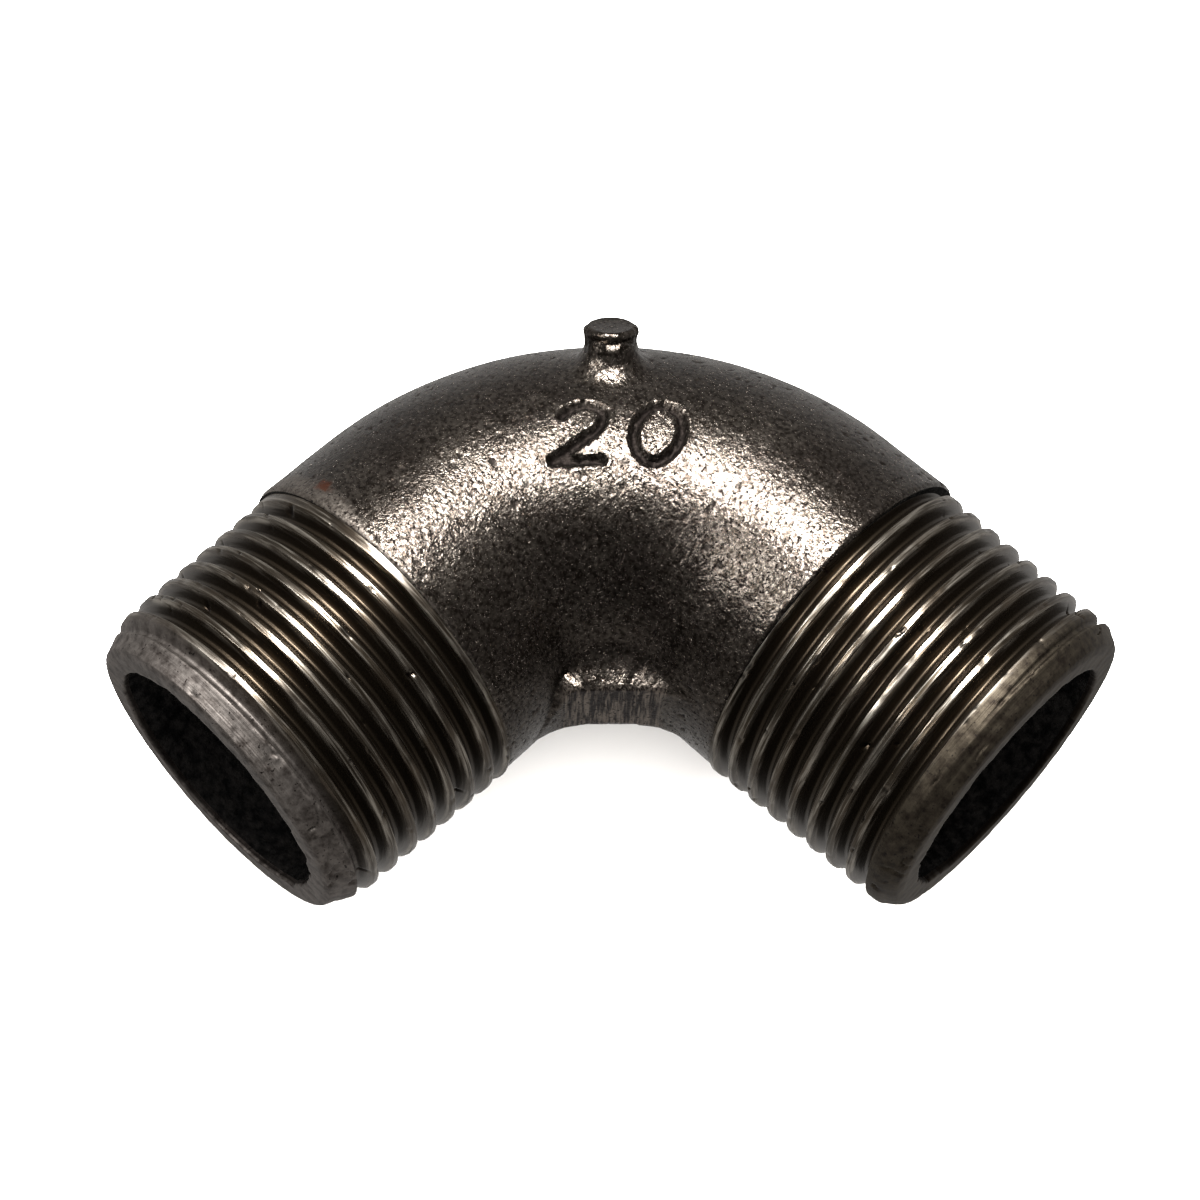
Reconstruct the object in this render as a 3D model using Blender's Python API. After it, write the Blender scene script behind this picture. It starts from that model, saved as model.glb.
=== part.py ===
"""A 90 degree pipe elbow, size 3/4, with a male taper thread on both ends.

The elbow is one malleable-iron casting: a round bend with a cored bore, a vent stub on the
upper shoulder of the bend and a ground gate land in its crotch. The two threads are cut into it.

Frame: +Z is up and the elbow lies on its side, so both port axes are horizontal. Port A points
along +X and port B along -Y. The origin is the centre of the bottom of the bounding box.
"""

import math

import bmesh
import bpy
from mathutils import Vector

MM = 0.001

# Driving dimensions of the casting
CENTRE_TO_END = 39.8 * MM  # from the crossing of the port axes to each end face
BODY_RADIUS = 13.5 * MM
BODY_OFFSET = 0.3 * MM  # the cast skin sits this far towards the outside of the bend
BEND_RADIUS = 17.4 * MM  # of the bore's centre line
BORE_RADIUS = 9.6 * MM

# The R 3/4 thread: 14 turns to the inch on a 1 in 16 taper
THREAD_PITCH = 25.4 / 14 * MM
THREAD_DEPTH = 0.6403 * THREAD_PITCH
THREAD_HALF_ANGLE = math.radians(27.5)
THREAD_ROOT_WIDTH = 0.25 * MM
GAUGE_RADIUS = 26.441 / 2 * MM  # crest radius at the gauge plane
GAUGE_LENGTH = 9.53 * MM  # from the end face to the gauge plane
TAPER = 1 / 32  # radius lost for each unit of length
THREAD_LENGTH = 16.7 * MM  # from the end face to the shoulder of the casting
RUN_OUT_CLEARANCE = 1.1 * MM  # between the last turn's middle and the shoulder
RUN_OUT_TURNS = 0.75  # the last turn rises out of the metal over this many turns

# Each thread's first turn, as its distance behind the end face where it passes the port's side
PORT_A_FIRST_TURN = 0.25 * MM
PORT_B_FIRST_TURN = 0.72 * MM

END_CHAMFER_ANGLE = math.radians(30)
END_FACE_RADIUS = 11.7 * MM
SHOULDER_STEP = 0.3 * MM  # axial length of the step from the crests up to the cast skin

# The vent stub on the upper shoulder of the bend and the gate land in its crotch
STUB_TILT = math.radians(58.5)  # of its axis, up from the outward bisector
STUB_RADIUS = 1.9 * MM
STUB_HEIGHT = 2.6 * MM  # above the cast skin
STUB_ROOT_DEPTH = 2.0 * MM  # below the cast skin, inside the wall
GATE_REACH = 22.4 * MM  # from the crossing of the port axes, along the inward bisector
GATE_ROOT = 19.4 * MM  # where the gate starts, inside the wall
GATE_FACE_HEIGHT = 5.6 * MM
GATE_ROOT_HEIGHT = 7.1 * MM
GATE_WIDTH = 10.0 * MM  # its ends are buried in the two legs

# Facets
FACETS = 36  # around every round section
BEND_STEPS = 12
STUB_FACETS = 24
THREAD_OVERSHOOT = 0.6 * MM  # how far the thread cutter stands outside the crests

UP = Vector((0, 0, 1))
PORT_A = Vector((1, 0, 0))
PORT_B = Vector((0, -1, 0))
OUTWARD = (-PORT_A - PORT_B).normalized()  # from the crossing towards the outside of the bend
OUTER_RADIUS = BODY_RADIUS + BODY_OFFSET

# The crossing of the port axes, seen from the centre of the bottom of the bounding box
HALF_SPAN = (CENTRE_TO_END + OUTER_RADIUS) / 2
CROSSING = Vector((OUTER_RADIUS - HALF_SPAN, HALF_SPAN - OUTER_RADIUS, BODY_RADIUS))
BEND_CENTRE = CROSSING + (PORT_A + PORT_B) * BEND_RADIUS


def clear_scene():
    for thing in list(bpy.data.objects):
        bpy.data.objects.remove(thing, do_unlink=True)


def iron(name, colour, roughness, metallic):
    material = bpy.data.materials.new(name)
    material.use_nodes = True
    shader = material.node_tree.nodes["Principled BSDF"]
    shader.inputs["Base Color"].default_value = (*colour, 1)
    shader.inputs["Roughness"].default_value = roughness
    shader.inputs["Metallic"].default_value = metallic
    return material


def add_object(name, mesh_builder):
    """Makes an object from a bmesh, with every face pointing out."""
    bmesh.ops.recalc_face_normals(mesh_builder, faces=mesh_builder.faces)
    mesh = bpy.data.meshes.new(name)
    mesh_builder.to_mesh(mesh)
    mesh_builder.free()
    thing = bpy.data.objects.new(name, mesh)
    bpy.context.scene.collection.objects.link(thing)
    return thing


def form(name, mesh_builder):
    """A shape that only cuts or joins the casting, and isn't a part itself."""
    thing = add_object(name, mesh_builder)
    thing.hide_render = True
    thing.display_type = "WIRE"
    return thing


def crest_radius(behind_end):
    """The thread's crest radius at a distance behind the end face."""
    return GAUGE_RADIUS + (behind_end - GAUGE_LENGTH) * TAPER


def chamfer_length():
    """Where the end chamfer reaches the line of the crests."""
    slope = math.tan(END_CHAMFER_ANGLE) - TAPER
    return (crest_radius(0) - END_FACE_RADIUS) / slope


def circle(mesh_builder, centre, side, radius, facets=FACETS, above=UP):
    """A ring of vertices around a centre, starting at its side direction and turning to above."""
    turns = (2 * math.pi * k / facets for k in range(facets))
    return [
        mesh_builder.verts.new(centre + (side * math.cos(t) + above * math.sin(t)) * radius)
        for t in turns
    ]


def skin(mesh_builder, rings):
    """Bridges each ring to the next with quads."""
    for first, second in zip(rings, rings[1:]):
        for k in range(len(first)):
            n = (k + 1) % len(first)
            mesh_builder.faces.new((first[k], first[n], second[n], second[k]))


def leg_stations(axis, outward, profile):
    """Centre, side and radius of each ring along a straight leg, from its end face inwards."""
    return [
        (CROSSING + axis * (CENTRE_TO_END - behind_end) + outward * offset, outward, radius)
        for behind_end, radius, offset in profile
    ]


def bend_stations(radius, offset):
    """Centre, side and radius of each ring around the bend, from port A to port B."""
    stations = []
    for k in range(BEND_STEPS + 1):
        turn = math.pi / 2 * k / BEND_STEPS
        side = -PORT_B * math.cos(turn) - PORT_A * math.sin(turn)
        stations.append((BEND_CENTRE + side * (BEND_RADIUS + offset), side, radius))
    return stations


def elbow_stations(leg_profile, radius, offset):
    leg_a = leg_stations(PORT_A, -PORT_B, leg_profile)
    leg_b = leg_stations(PORT_B, -PORT_A, leg_profile)
    return leg_a + bend_stations(radius, offset) + leg_b[::-1]


def casting_blank():
    """The bend and its two legs before threading, with the bore through it."""
    chamfer_end = chamfer_length()
    outside = [
        (0, END_FACE_RADIUS, 0),
        (chamfer_end, crest_radius(chamfer_end), 0),
        (THREAD_LENGTH, crest_radius(THREAD_LENGTH), 0),
        (THREAD_LENGTH + SHOULDER_STEP, BODY_RADIUS, BODY_OFFSET),
    ]
    inside = [(0, BORE_RADIUS, 0)]
    builder = bmesh.new()
    outer = [circle(builder, *s) for s in elbow_stations(outside, BODY_RADIUS, BODY_OFFSET)]
    inner = [circle(builder, *s) for s in elbow_stations(inside, BORE_RADIUS, 0)]
    skin(builder, outer)
    skin(builder, inner)
    skin(builder, [outer[0], inner[0]])
    skin(builder, [outer[-1], inner[-1]])
    return add_object("elbow_casting", builder)


def thread_section(behind_end, rise):
    """The groove's cross-section: pairs of distance behind the end face and radius."""
    crest = crest_radius(behind_end) + rise
    root = crest - THREAD_DEPTH
    root_half = THREAD_ROOT_WIDTH / 2
    crest_half = root_half + THREAD_DEPTH * math.tan(THREAD_HALF_ANGLE)
    outside = crest + THREAD_OVERSHOOT
    return [
        (behind_end - root_half, root),
        (behind_end + root_half, root),
        (behind_end + crest_half, crest),
        (behind_end + crest_half, outside),
        (behind_end - crest_half, outside),
        (behind_end - crest_half, crest),
    ]


def thread_cutter(name, axis, first_turn):
    """A right-hand helical groove, from its run-out by the shoulder to beyond the end face."""
    side = UP.cross(axis)
    innermost = THREAD_LENGTH - RUN_OUT_CLEARANCE
    step = THREAD_PITCH / FACETS
    first = -math.floor((innermost - first_turn) / step)
    last = math.ceil((first_turn + THREAD_PITCH * 0.75) / step)
    run_out_steps = RUN_OUT_TURNS * FACETS
    builder = bmesh.new()
    rings = []
    for k in range(first, last + 1):
        turn = 2 * math.pi * k / FACETS
        radial = side * math.cos(turn) + UP * math.sin(turn)
        left_to_rise = max(0, 1 - (k - first) / run_out_steps)
        section = thread_section(first_turn - k * step, left_to_rise * THREAD_DEPTH * 1.05)
        rings.append([
            builder.verts.new(CROSSING + axis * (CENTRE_TO_END - t) + radial * r)
            for t, r in section
        ])
    skin(builder, rings)
    builder.faces.new(rings[0])
    builder.faces.new(rings[-1])
    return form(name, builder)


def vent_stub():
    """A round peg standing square to the skin, half way round the bend."""
    across = OUTWARD.cross(UP)
    axis = OUTWARD * math.cos(STUB_TILT) + UP * math.sin(STUB_TILT)
    above = axis.cross(across)
    tube_centre = BEND_CENTRE + OUTWARD * (BEND_RADIUS + BODY_OFFSET)
    builder = bmesh.new()
    rings = [
        circle(builder, tube_centre + axis * reach, across, STUB_RADIUS, STUB_FACETS, above)
        for reach in (BODY_RADIUS - STUB_ROOT_DEPTH, BODY_RADIUS + STUB_HEIGHT)
    ]
    skin(builder, rings)
    for ring in rings:
        builder.faces.new(ring)
    return form("vent_stub_form", builder)


def gate_land():
    """A rib across the crotch, whose ground face is flat and upright."""
    across = OUTWARD.cross(UP)
    section = [
        (GATE_REACH, GATE_FACE_HEIGHT / 2),
        (GATE_ROOT, GATE_ROOT_HEIGHT / 2),
        (GATE_ROOT, -GATE_ROOT_HEIGHT / 2),
        (GATE_REACH, -GATE_FACE_HEIGHT / 2),
    ]
    builder = bmesh.new()
    ends = [
        [
            builder.verts.new(CROSSING - OUTWARD * reach + UP * height + across * sideways)
            for reach, height in section
        ]
        for sideways in (-GATE_WIDTH / 2, GATE_WIDTH / 2)
    ]
    skin(builder, ends)
    for end in ends:
        builder.faces.new(end)
    return form("gate_land_form", builder)


def combine(target, other, operation):
    boolean = target.modifiers.new(other.name, "BOOLEAN")
    boolean.operation = operation
    boolean.solver = "EXACT"
    boolean.object = other


def main():
    clear_scene()
    casting = casting_blank()
    combine(casting, vent_stub(), "UNION")
    combine(casting, gate_land(), "UNION")
    combine(casting, thread_cutter("thread_cutter_a", PORT_A, PORT_A_FIRST_TURN), "DIFFERENCE")
    combine(casting, thread_cutter("thread_cutter_b", PORT_B, PORT_B_FIRST_TURN), "DIFFERENCE")
    casting.data.materials.append(iron("black_iron", (0.055, 0.047, 0.04), 0.38, 0.9))
    casting.data.shade_smooth()
    casting.data.set_sharp_from_angle(angle=math.radians(25))


main()
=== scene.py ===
"""The looks of a 3/4 male to male pipe elbow in black malleable iron.

The CAD casting gives the place and the size. Four detailed pieces stand for it here: the cast bend,
its vent stub, and one threaded end for each port. Lengths are in millimetres until a mesh is made.
"""

import math

import bmesh
import bpy
import numpy as np
from mathutils import Matrix, Vector, noise


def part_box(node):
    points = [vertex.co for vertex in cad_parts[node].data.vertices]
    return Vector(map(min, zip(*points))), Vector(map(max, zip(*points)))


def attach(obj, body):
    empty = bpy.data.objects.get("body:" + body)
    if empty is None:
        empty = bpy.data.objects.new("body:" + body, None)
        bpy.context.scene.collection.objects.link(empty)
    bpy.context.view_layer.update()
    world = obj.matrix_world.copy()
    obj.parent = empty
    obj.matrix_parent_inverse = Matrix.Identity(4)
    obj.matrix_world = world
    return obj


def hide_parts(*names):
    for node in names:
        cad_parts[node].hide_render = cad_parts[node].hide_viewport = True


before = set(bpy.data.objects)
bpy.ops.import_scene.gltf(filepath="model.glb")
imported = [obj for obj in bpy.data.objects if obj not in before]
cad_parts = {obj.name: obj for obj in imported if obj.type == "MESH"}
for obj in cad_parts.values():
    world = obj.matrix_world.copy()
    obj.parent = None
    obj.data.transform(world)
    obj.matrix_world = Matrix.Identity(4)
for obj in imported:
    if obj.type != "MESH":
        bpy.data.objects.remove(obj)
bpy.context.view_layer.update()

MM = 0.001
LOW, HIGH = (np.array(corner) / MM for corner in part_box("elbow_casting"))

# Sizes of the casting, as in the CAD model
CENTRE_TO_END = 39.8
BODY_RADIUS = 13.5
BODY_OFFSET = 0.3
BEND_RADIUS = 17.4
BORE_RADIUS = 9.6
THREAD_PITCH = 25.4 / 14
THREAD_DEPTH = 0.6403 * THREAD_PITCH
THREAD_ROUNDING = 0.1373 * THREAD_PITCH  # radius of the crests and roots
THREAD_HALF_ANGLE = math.radians(27.5)
CREST_WEAR = 0.13  # how far the crests are worn down below the standard form
GAUGE_RADIUS = 26.441 / 2
GAUGE_LENGTH = 9.53
TAPER = 1 / 32
THREAD_LENGTH = 16.7
STUB_TILT = math.radians(58.5)
STUB_RADIUS = 1.9
STUB_HEIGHT = 2.6
STUB_ROOT_DEPTH = 2.0
GATE_REACH = 22.4
GATE_FACE_HEIGHT = 5.6

# Directions, and the crossing of the two port axes
UP = np.array((0.0, 0.0, 1.0))
PORT_A = np.array((1.0, 0.0, 0.0))
PORT_B = np.array((0.0, -1.0, 0.0))
OUTWARD = -(PORT_A + PORT_B) / math.sqrt(2)
ACROSS = np.cross(OUTWARD, UP)
CROSSING = np.array((HIGH[0] - CENTRE_TO_END, LOW[1] + CENTRE_TO_END, LOW[2] + BODY_RADIUS))
BEND_CENTRE = CROSSING + (PORT_A + PORT_B) * BEND_RADIUS

# The vent stub stands square to the skin, half way round the bend
STUB_AXIS = OUTWARD * math.cos(STUB_TILT) + UP * math.sin(STUB_TILT)
STUB_ABOVE = np.cross(STUB_AXIS, ACROSS)
STUB_BASE = BEND_CENTRE + OUTWARD * (BEND_RADIUS + BODY_OFFSET) + STUB_AXIS * BODY_RADIUS

# The centre line runs from port A's end face, round the bend, to port B's end face
LEG_LENGTH = CENTRE_TO_END - BEND_RADIUS
BEND_LENGTH = BEND_RADIUS * math.pi / 2
PATH_LENGTH = 2 * LEG_LENGTH + BEND_LENGTH

# Mesh density
BEND_COLUMNS = 360
BEND_BORE_COLUMNS = 90
BEND_ROWS = 180
LEG_ROWS = 36
BORE_ROWS = 56
THREAD_COLUMNS = 360
STUB_COLUMNS = 96
STUB_SIDE_ROWS = 40
STUB_END_ROWS = 14

# Mesh finishing
BEND_SHARP_ANGLE = math.radians(70)  # edges sharper than these are not shaded smooth
STUB_SHARP_ANGLE = math.radians(60)
THREAD_SHARP_ANGLE = math.radians(75)
JOIN_GAP = 2e-7  # metres; points nearer to each other than this become one
SHORTEST_EDGE = 1e-7  # metres

FAR = 1e9  # further off than anything here
SEED_SHIFT = Vector((17.3, 5.1, 9.7))  # from one pattern of noise to the next


def smooth_step(value, start, end):
    share = np.clip((value - start) / (end - start), 0, 1)
    return share * share * (3 - 2 * share)


def smooth_max(a, b, blend):
    """The larger of a and b, rounded over where they are within blend of each other."""
    overlap = np.clip(blend - np.abs(a - b), 0, None) / blend
    return np.maximum(a, b) + overlap * overlap * blend / 4


def smooth_min(a, b, blend):
    return -smooth_max(-a, -b, blend)


def rough(points, size, seed):
    """Smooth noise between about -1 and 1, with bumps of about this size; the seed picks a pattern."""
    shift = SEED_SHIFT * seed
    flat = np.asarray(points).reshape(-1, 3) / size
    values = [noise.noise(Vector(p) + shift) for p in flat]
    return np.array(values).reshape(np.shape(points)[:-1])


# ---------------------------------------------------------------------------------------------
# Meshes
# ---------------------------------------------------------------------------------------------


class Shell:
    """Collects points, faces and point masks, then makes one closed mesh of them."""

    def __init__(self, masks):
        self.points = []
        self.faces = []
        self.slots = []
        self.masks = {name: [] for name in masks}
        self.count = 0

    def add_points(self, points, **masks):
        """Adds an array of points and returns their indices in the same shape."""
        flat = np.asarray(points).reshape(-1, 3)
        self.points.append(flat)
        for name, values in self.masks.items():
            values.append(np.broadcast_to(masks.get(name, 0.0), np.shape(points)[:-1]).ravel())
        indices = np.arange(self.count, self.count + len(flat)).reshape(np.shape(points)[:-1])
        self.count += len(flat)
        return indices

    def add_strip(self, first, second, slot=0):
        """Quads between two closed rings of indices of the same length."""
        turned = [np.roll(ring, -1) for ring in (first, second)]
        quads = np.stack((first, turned[0], turned[1], second), axis=1)
        self.faces.extend(quads.tolist())
        self.slots.extend([slot] * len(quads))

    def add_rings(self, rings, slot=0):
        for first, second in zip(rings, rings[1:]):
            self.add_strip(first, second, slot)

    def add_fan_strip(self, fine, coarse, slot=0):
        """Faces between two closed rings; the fine one has a whole multiple of the other's points."""
        ratio = len(fine) // len(coarse)
        for k in range(len(coarse)):
            outer = [fine[(k * ratio + n) % len(fine)] for n in range(ratio + 1)]
            face = outer + [coarse[(k + 1) % len(coarse)], coarse[k]]
            self.faces.append([int(index) for index in face])
            self.slots.append(slot)

    def finish(self, name, materials, sharp_angle):
        points = np.concatenate(self.points) * MM
        mesh = bpy.data.meshes.new(name)
        mesh.from_pydata(points.tolist(), [], self.faces)
        mesh.polygons.foreach_set("material_index", self.slots)
        for mask, values in self.masks.items():
            layer = mesh.attributes.new(mask, "FLOAT", "POINT")
            layer.data.foreach_set("value", np.concatenate(values).astype(np.float32))
        builder = bmesh.new()
        builder.from_mesh(mesh)
        bmesh.ops.remove_doubles(builder, verts=builder.verts, dist=JOIN_GAP)
        bmesh.ops.dissolve_degenerate(builder, edges=builder.edges, dist=SHORTEST_EDGE)
        bmesh.ops.recalc_face_normals(builder, faces=builder.faces)
        builder.to_mesh(mesh)
        builder.free()
        mesh.shade_smooth()
        mesh.set_sharp_from_angle(angle=sharp_angle)
        for material in materials:
            mesh.materials.append(material)
        piece = bpy.data.objects.new(name, mesh)
        bpy.context.scene.collection.objects.link(piece)
        return piece


def ring_angles(columns):
    return np.arange(columns) * 2 * math.pi / columns


BORE_WAVES = 0.10
BORE_LUMPS = 0.05


def bore_radius(points):
    """The cored bore is a little uneven."""
    waves = BORE_WAVES * rough(points, 2.6, 3)
    return BORE_RADIUS + waves + BORE_LUMPS * rough(points, 0.9, 4)


# ---------------------------------------------------------------------------------------------
# The bend
# ---------------------------------------------------------------------------------------------


def centre_line(path):
    """Centre and outward side of the stations at these distances from port A's end face."""
    turn = np.clip((path - LEG_LENGTH) / BEND_RADIUS, 0, math.pi / 2)[:, None]
    side = -PORT_B * np.cos(turn) - PORT_A * np.sin(turn)
    before = np.clip(LEG_LENGTH - path, 0, None)[:, None]
    after = np.clip(path - LEG_LENGTH - BEND_LENGTH, 0, None)[:, None]
    centre = BEND_CENTRE + side * BEND_RADIUS + PORT_A * before + PORT_B * after
    return centre, side


def bend_frame(path, columns):
    """Ray starts and directions over the whole grid, one row for each station."""
    centre, side = centre_line(path)
    angle = ring_angles(columns)[None, :, None]
    directions = side[:, None, :] * np.cos(angle) + UP * np.sin(angle)
    return centre[:, None, :], side[:, None, :], directions


# The ground gate land in the crotch
GATE_LEDGE_TILT = math.radians(12.5)
GATE_ROOT_REACH = 15.0
GATE_BLEND = 2.4  # where the land grows out of the bend
GATE_EDGE_BLEND = 0.3  # at the land's own edges
GATE_CORNER = (-3.2, 2.9)  # where the land's top edge turns down, sideways and up
GATE_CORNER_FACING = (-0.82, 0.572)  # the way the turned-down part faces, sideways and up
GATE_LUMPS = 0.09
GATE_NICKS = 0.03
GATE_SCORES = 0.012
GATE_EDGE = (-0.3, 0.4)  # the skin turns into the land between these heights over it
GROUND_EDGE = (0.14, 0.05)  # the ground face begins between these distances from the land's tip
LEAST_SLOPE = 1e-6  # of a ray that runs along a plane


def ray_exit(starts, directions, planes):
    """Where rays leave a convex solid; 0 where they miss it.

    Each plane is its normal, a point on it and how far it stands out at each ray.
    """
    enter = np.full(directions.shape[:-1], -FAR)
    leave = np.full(directions.shape[:-1], FAR)
    for normal, point, unevenness in planes:
        slope = directions @ normal
        slope = np.where(np.abs(slope) < LEAST_SLOPE, LEAST_SLOPE, slope)
        reach = ((np.asarray(point) - starts) @ normal + unevenness) / slope
        leave = np.where(slope > 0, smooth_min(leave, reach, GATE_EDGE_BLEND), leave)
        enter = np.where(slope < 0, np.maximum(enter, reach), enter)
    return np.where((leave > enter) & (leave > 0), leave, 0)


def gate_land_radius(starts, directions, body):
    """How far the ground gate land stands out along each ray."""
    tip = CROSSING - OUTWARD * GATE_REACH
    near = starts + directions * body[..., None]
    ragged = GATE_LUMPS * rough(near, 0.9, 21) + GATE_NICKS * rough(near, 0.4, 22)
    scores = GATE_SCORES * rough(near * (1, 1, 0.15), 0.3, 23)
    ledge = -OUTWARD * math.sin(GATE_LEDGE_TILT) + UP * math.cos(GATE_LEDGE_TILT)
    under = ledge * (1, 1, -1)
    corner = tip + ACROSS * GATE_CORNER[0] + UP * GATE_CORNER[1]
    corner_facing = ACROSS * GATE_CORNER_FACING[0] + UP * GATE_CORNER_FACING[1]
    planes = [
        (-OUTWARD, tip, scores),
        (ledge, tip + UP * GATE_FACE_HEIGHT / 2, ragged),
        (under, tip - UP * GATE_FACE_HEIGHT / 2, ragged),
        (corner_facing, corner, 0),
        (OUTWARD, CROSSING - OUTWARD * GATE_ROOT_REACH, 0),
    ]
    return ray_exit(starts, directions, planes)


# The size mark, cut by hand into the pattern: strokes as chains of points in a glyph box that is
# one unit high, with x to the right
MARK_HEIGHT = 4.7
MARK_STROKE = 0.68
MARK_DEPTH = 0.48
MARK_BASE = -9.9  # of the lower edge, towards the outside of the bend, from the crossing
MARK_SLANT = 0.16
MARK_EDGE = (0.14, 0.08)  # width of the sloping sides, inside and outside a stroke's edge
MARK_WANDER = 0.15  # of the edge of the strokes
MARK_LIP = 0.05  # height of the raised lip beside the strokes
MARK_LIP_GAP = 0.18
MARK_LIP_WIDTH = 0.16
MARK_FLOOR_UNEVEN = 0.35  # as a share of the depth
TWO_LEFT = -4.3  # the left-hand edges of the two figures, sideways from the crossing
NOUGHT_LEFT = 1.0


def arc_points(centre, radii, start, end, count):
    turns = np.radians(np.linspace(start, end, count))
    return [(centre[0] + radii[0] * math.cos(t), centre[1] + radii[1] * math.sin(t)) for t in turns]


def mark_strokes():
    """The strokes of a 2 and a 0, each as a chain of points sideways and outward."""
    two = arc_points((0.33, 0.72), (0.33, 0.28), 165, -35, 9) + [(0.0, 0.0), (0.74, 0.03)]
    nought = arc_points((0.38, 0.5), (0.36, 0.5), 0, 360, 17)
    placed = []
    for glyph, left in ((two, TWO_LEFT), (nought, NOUGHT_LEFT)):
        placed.append(np.array([
            (left + (x + MARK_SLANT * y) * MARK_HEIGHT, MARK_BASE + y * MARK_HEIGHT)
            for x, y in glyph
        ]))
    return placed


def stroke_distance(across, outward):
    """Distance to the nearest stroke of the mark."""
    nearest = np.full(across.shape, FAR)
    for chain in mark_strokes():
        for start, end in zip(chain, chain[1:]):
            along = end - start
            share = (across - start[0]) * along[0] + (outward - start[1]) * along[1]
            share = np.clip(share / (along @ along), 0, 1)
            gap = np.hypot(across - start[0] - share * along[0], outward - start[1] - share * along[1])
            nearest = np.minimum(nearest, gap)
    return nearest


def size_mark(points):
    """How far the size mark moves the skin, and the mask of its strokes."""
    gap = stroke_distance((points - CROSSING) @ ACROSS, (points - CROSSING) @ OUTWARD)
    wander = MARK_WANDER * rough(points, 0.5, 18)
    half = MARK_STROKE / 2
    cut = 1 - smooth_step(gap + wander, half - MARK_EDGE[0], half + MARK_EDGE[1])
    lip = np.exp(-((gap - half - MARK_LIP_GAP) / MARK_LIP_WIDTH) ** 2)
    on_top = points[..., 2] > CROSSING[2]
    floor = 1 + MARK_FLOOR_UNEVEN * rough(points, 0.35, 19)
    return (MARK_LIP * lip - MARK_DEPTH * cut * floor) * on_top, cut * on_top


# Where the cast skin meets the threads
PORT_A_SHOULDER = 16.7  # where the thread ends and the cast skin begins, from each end face
PORT_B_SHOULDER = 16.1
TURNED_BAND = 2.0  # length of the turned band beside port B's thread, on its outer side
TURNED_BAND_INSIDE = 0.2
TURNED_BAND_RAGGED = 0.30
TURNED_BAND_FADE = 0.9  # length over which its outer side gives way to the cast skin
TURNED_BAND_EDGE = 0.1
OUTER_SIDE = (-0.1, 0.4)  # cosines of the angle from the outside of the bend
TORN_EDGE_DEPTH = 0.22  # the skin is torn back beside port A's thread
TORN_EDGE_WIDTH = 0.15
TORN_EDGE_RAGGED = 0.28
TOOL_MARK_DEPTH = 0.20  # a fine groove beside port B's thread
TOOL_MARK_PLACE = 0.05  # behind the shoulder
TOOL_MARK_WIDTH = 0.12


def cut_shoulders(radius, near, from_a, from_b, angle):
    """The turned band and tool mark by port B, and the torn edge of the skin by port A."""
    ragged = TURNED_BAND_RAGGED * rough(near, 1.6, 11)
    outer_side = smooth_step(np.cos(angle), *OUTER_SIDE)
    band = PORT_B_SHOULDER + TURNED_BAND_INSIDE + (TURNED_BAND - TURNED_BAND_INSIDE) * outer_side
    fade_start = band - TURNED_BAND_FADE * outer_side - TURNED_BAND_EDGE
    turned = 1 - smooth_step(from_b + ragged * outer_side, fade_start, band + TURNED_BAND_EDGE)
    torn_width = TORN_EDGE_RAGGED * np.abs(rough(near, 0.9, 12)) + TORN_EDGE_WIDTH
    torn = 1 - smooth_step(from_a - PORT_A_SHOULDER, 0.0, torn_width)
    tool_mark = np.exp(-((from_b - PORT_B_SHOULDER - TOOL_MARK_PLACE) / TOOL_MARK_WIDTH) ** 2)
    return radius - TORN_EDGE_DEPTH * torn - TOOL_MARK_DEPTH * tool_mark, turned


# The cast skin
SKIN_ALLOWANCE = 0.12  # keeps the uneven skin inside the CAD size
SKIN_CLEARANCE = 0.01  # and this much is always kept
SWELL_HEIGHT = 0.05
PEBBLE_HEIGHT = 0.010
GRAIN_HEIGHT = 0.007
PIT_DEPTH = 0.10
FLASH_HEIGHT = 0.07
FLASH_WIDTH = 0.22


def roughen_skin(radius, near, cast):
    """Low swells, a pebbled grain and scattered pits, and the mask of the pits."""
    swell = SWELL_HEIGHT * rough(near, 5.0, 13)
    pebble = PEBBLE_HEIGHT * rough(near, 0.95, 14)
    grain = GRAIN_HEIGHT * rough(near, 0.42, 15)
    pits = smooth_step(rough(near, 0.42, 16), 0.50, 0.66)
    return radius + swell * cast + (pebble + grain - PIT_DEPTH * pits) * cast, pits


def add_flash(radius, near, starts, angle, cast):
    """Parting flash along the outside of the bend, ground back here and there."""
    height = starts[..., 2] - CROSSING[2] + np.sin(angle) * radius
    outside = np.cos(angle) > 0
    flash = np.exp(-(height / FLASH_WIDTH) ** 2) * outside
    return radius + FLASH_HEIGHT * flash * smooth_step(rough(near, 3.0, 17), -0.5, 0.3) * cast


# The fillet at the root of the vent stub
STUB_FILLET = 1.5
STUB_FILLET_BELOW = 2.3  # on the side towards the crotch, where it runs up to the end
STUB_FILLET_HEIGHT = 0.9  # as a share of its width
STUB_FILLET_LUMPS = 0.10  # as a share of its height
STUB_FILLET_DEPTH = -3.0  # along the stub; skin below this is on the far side of the bend


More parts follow.
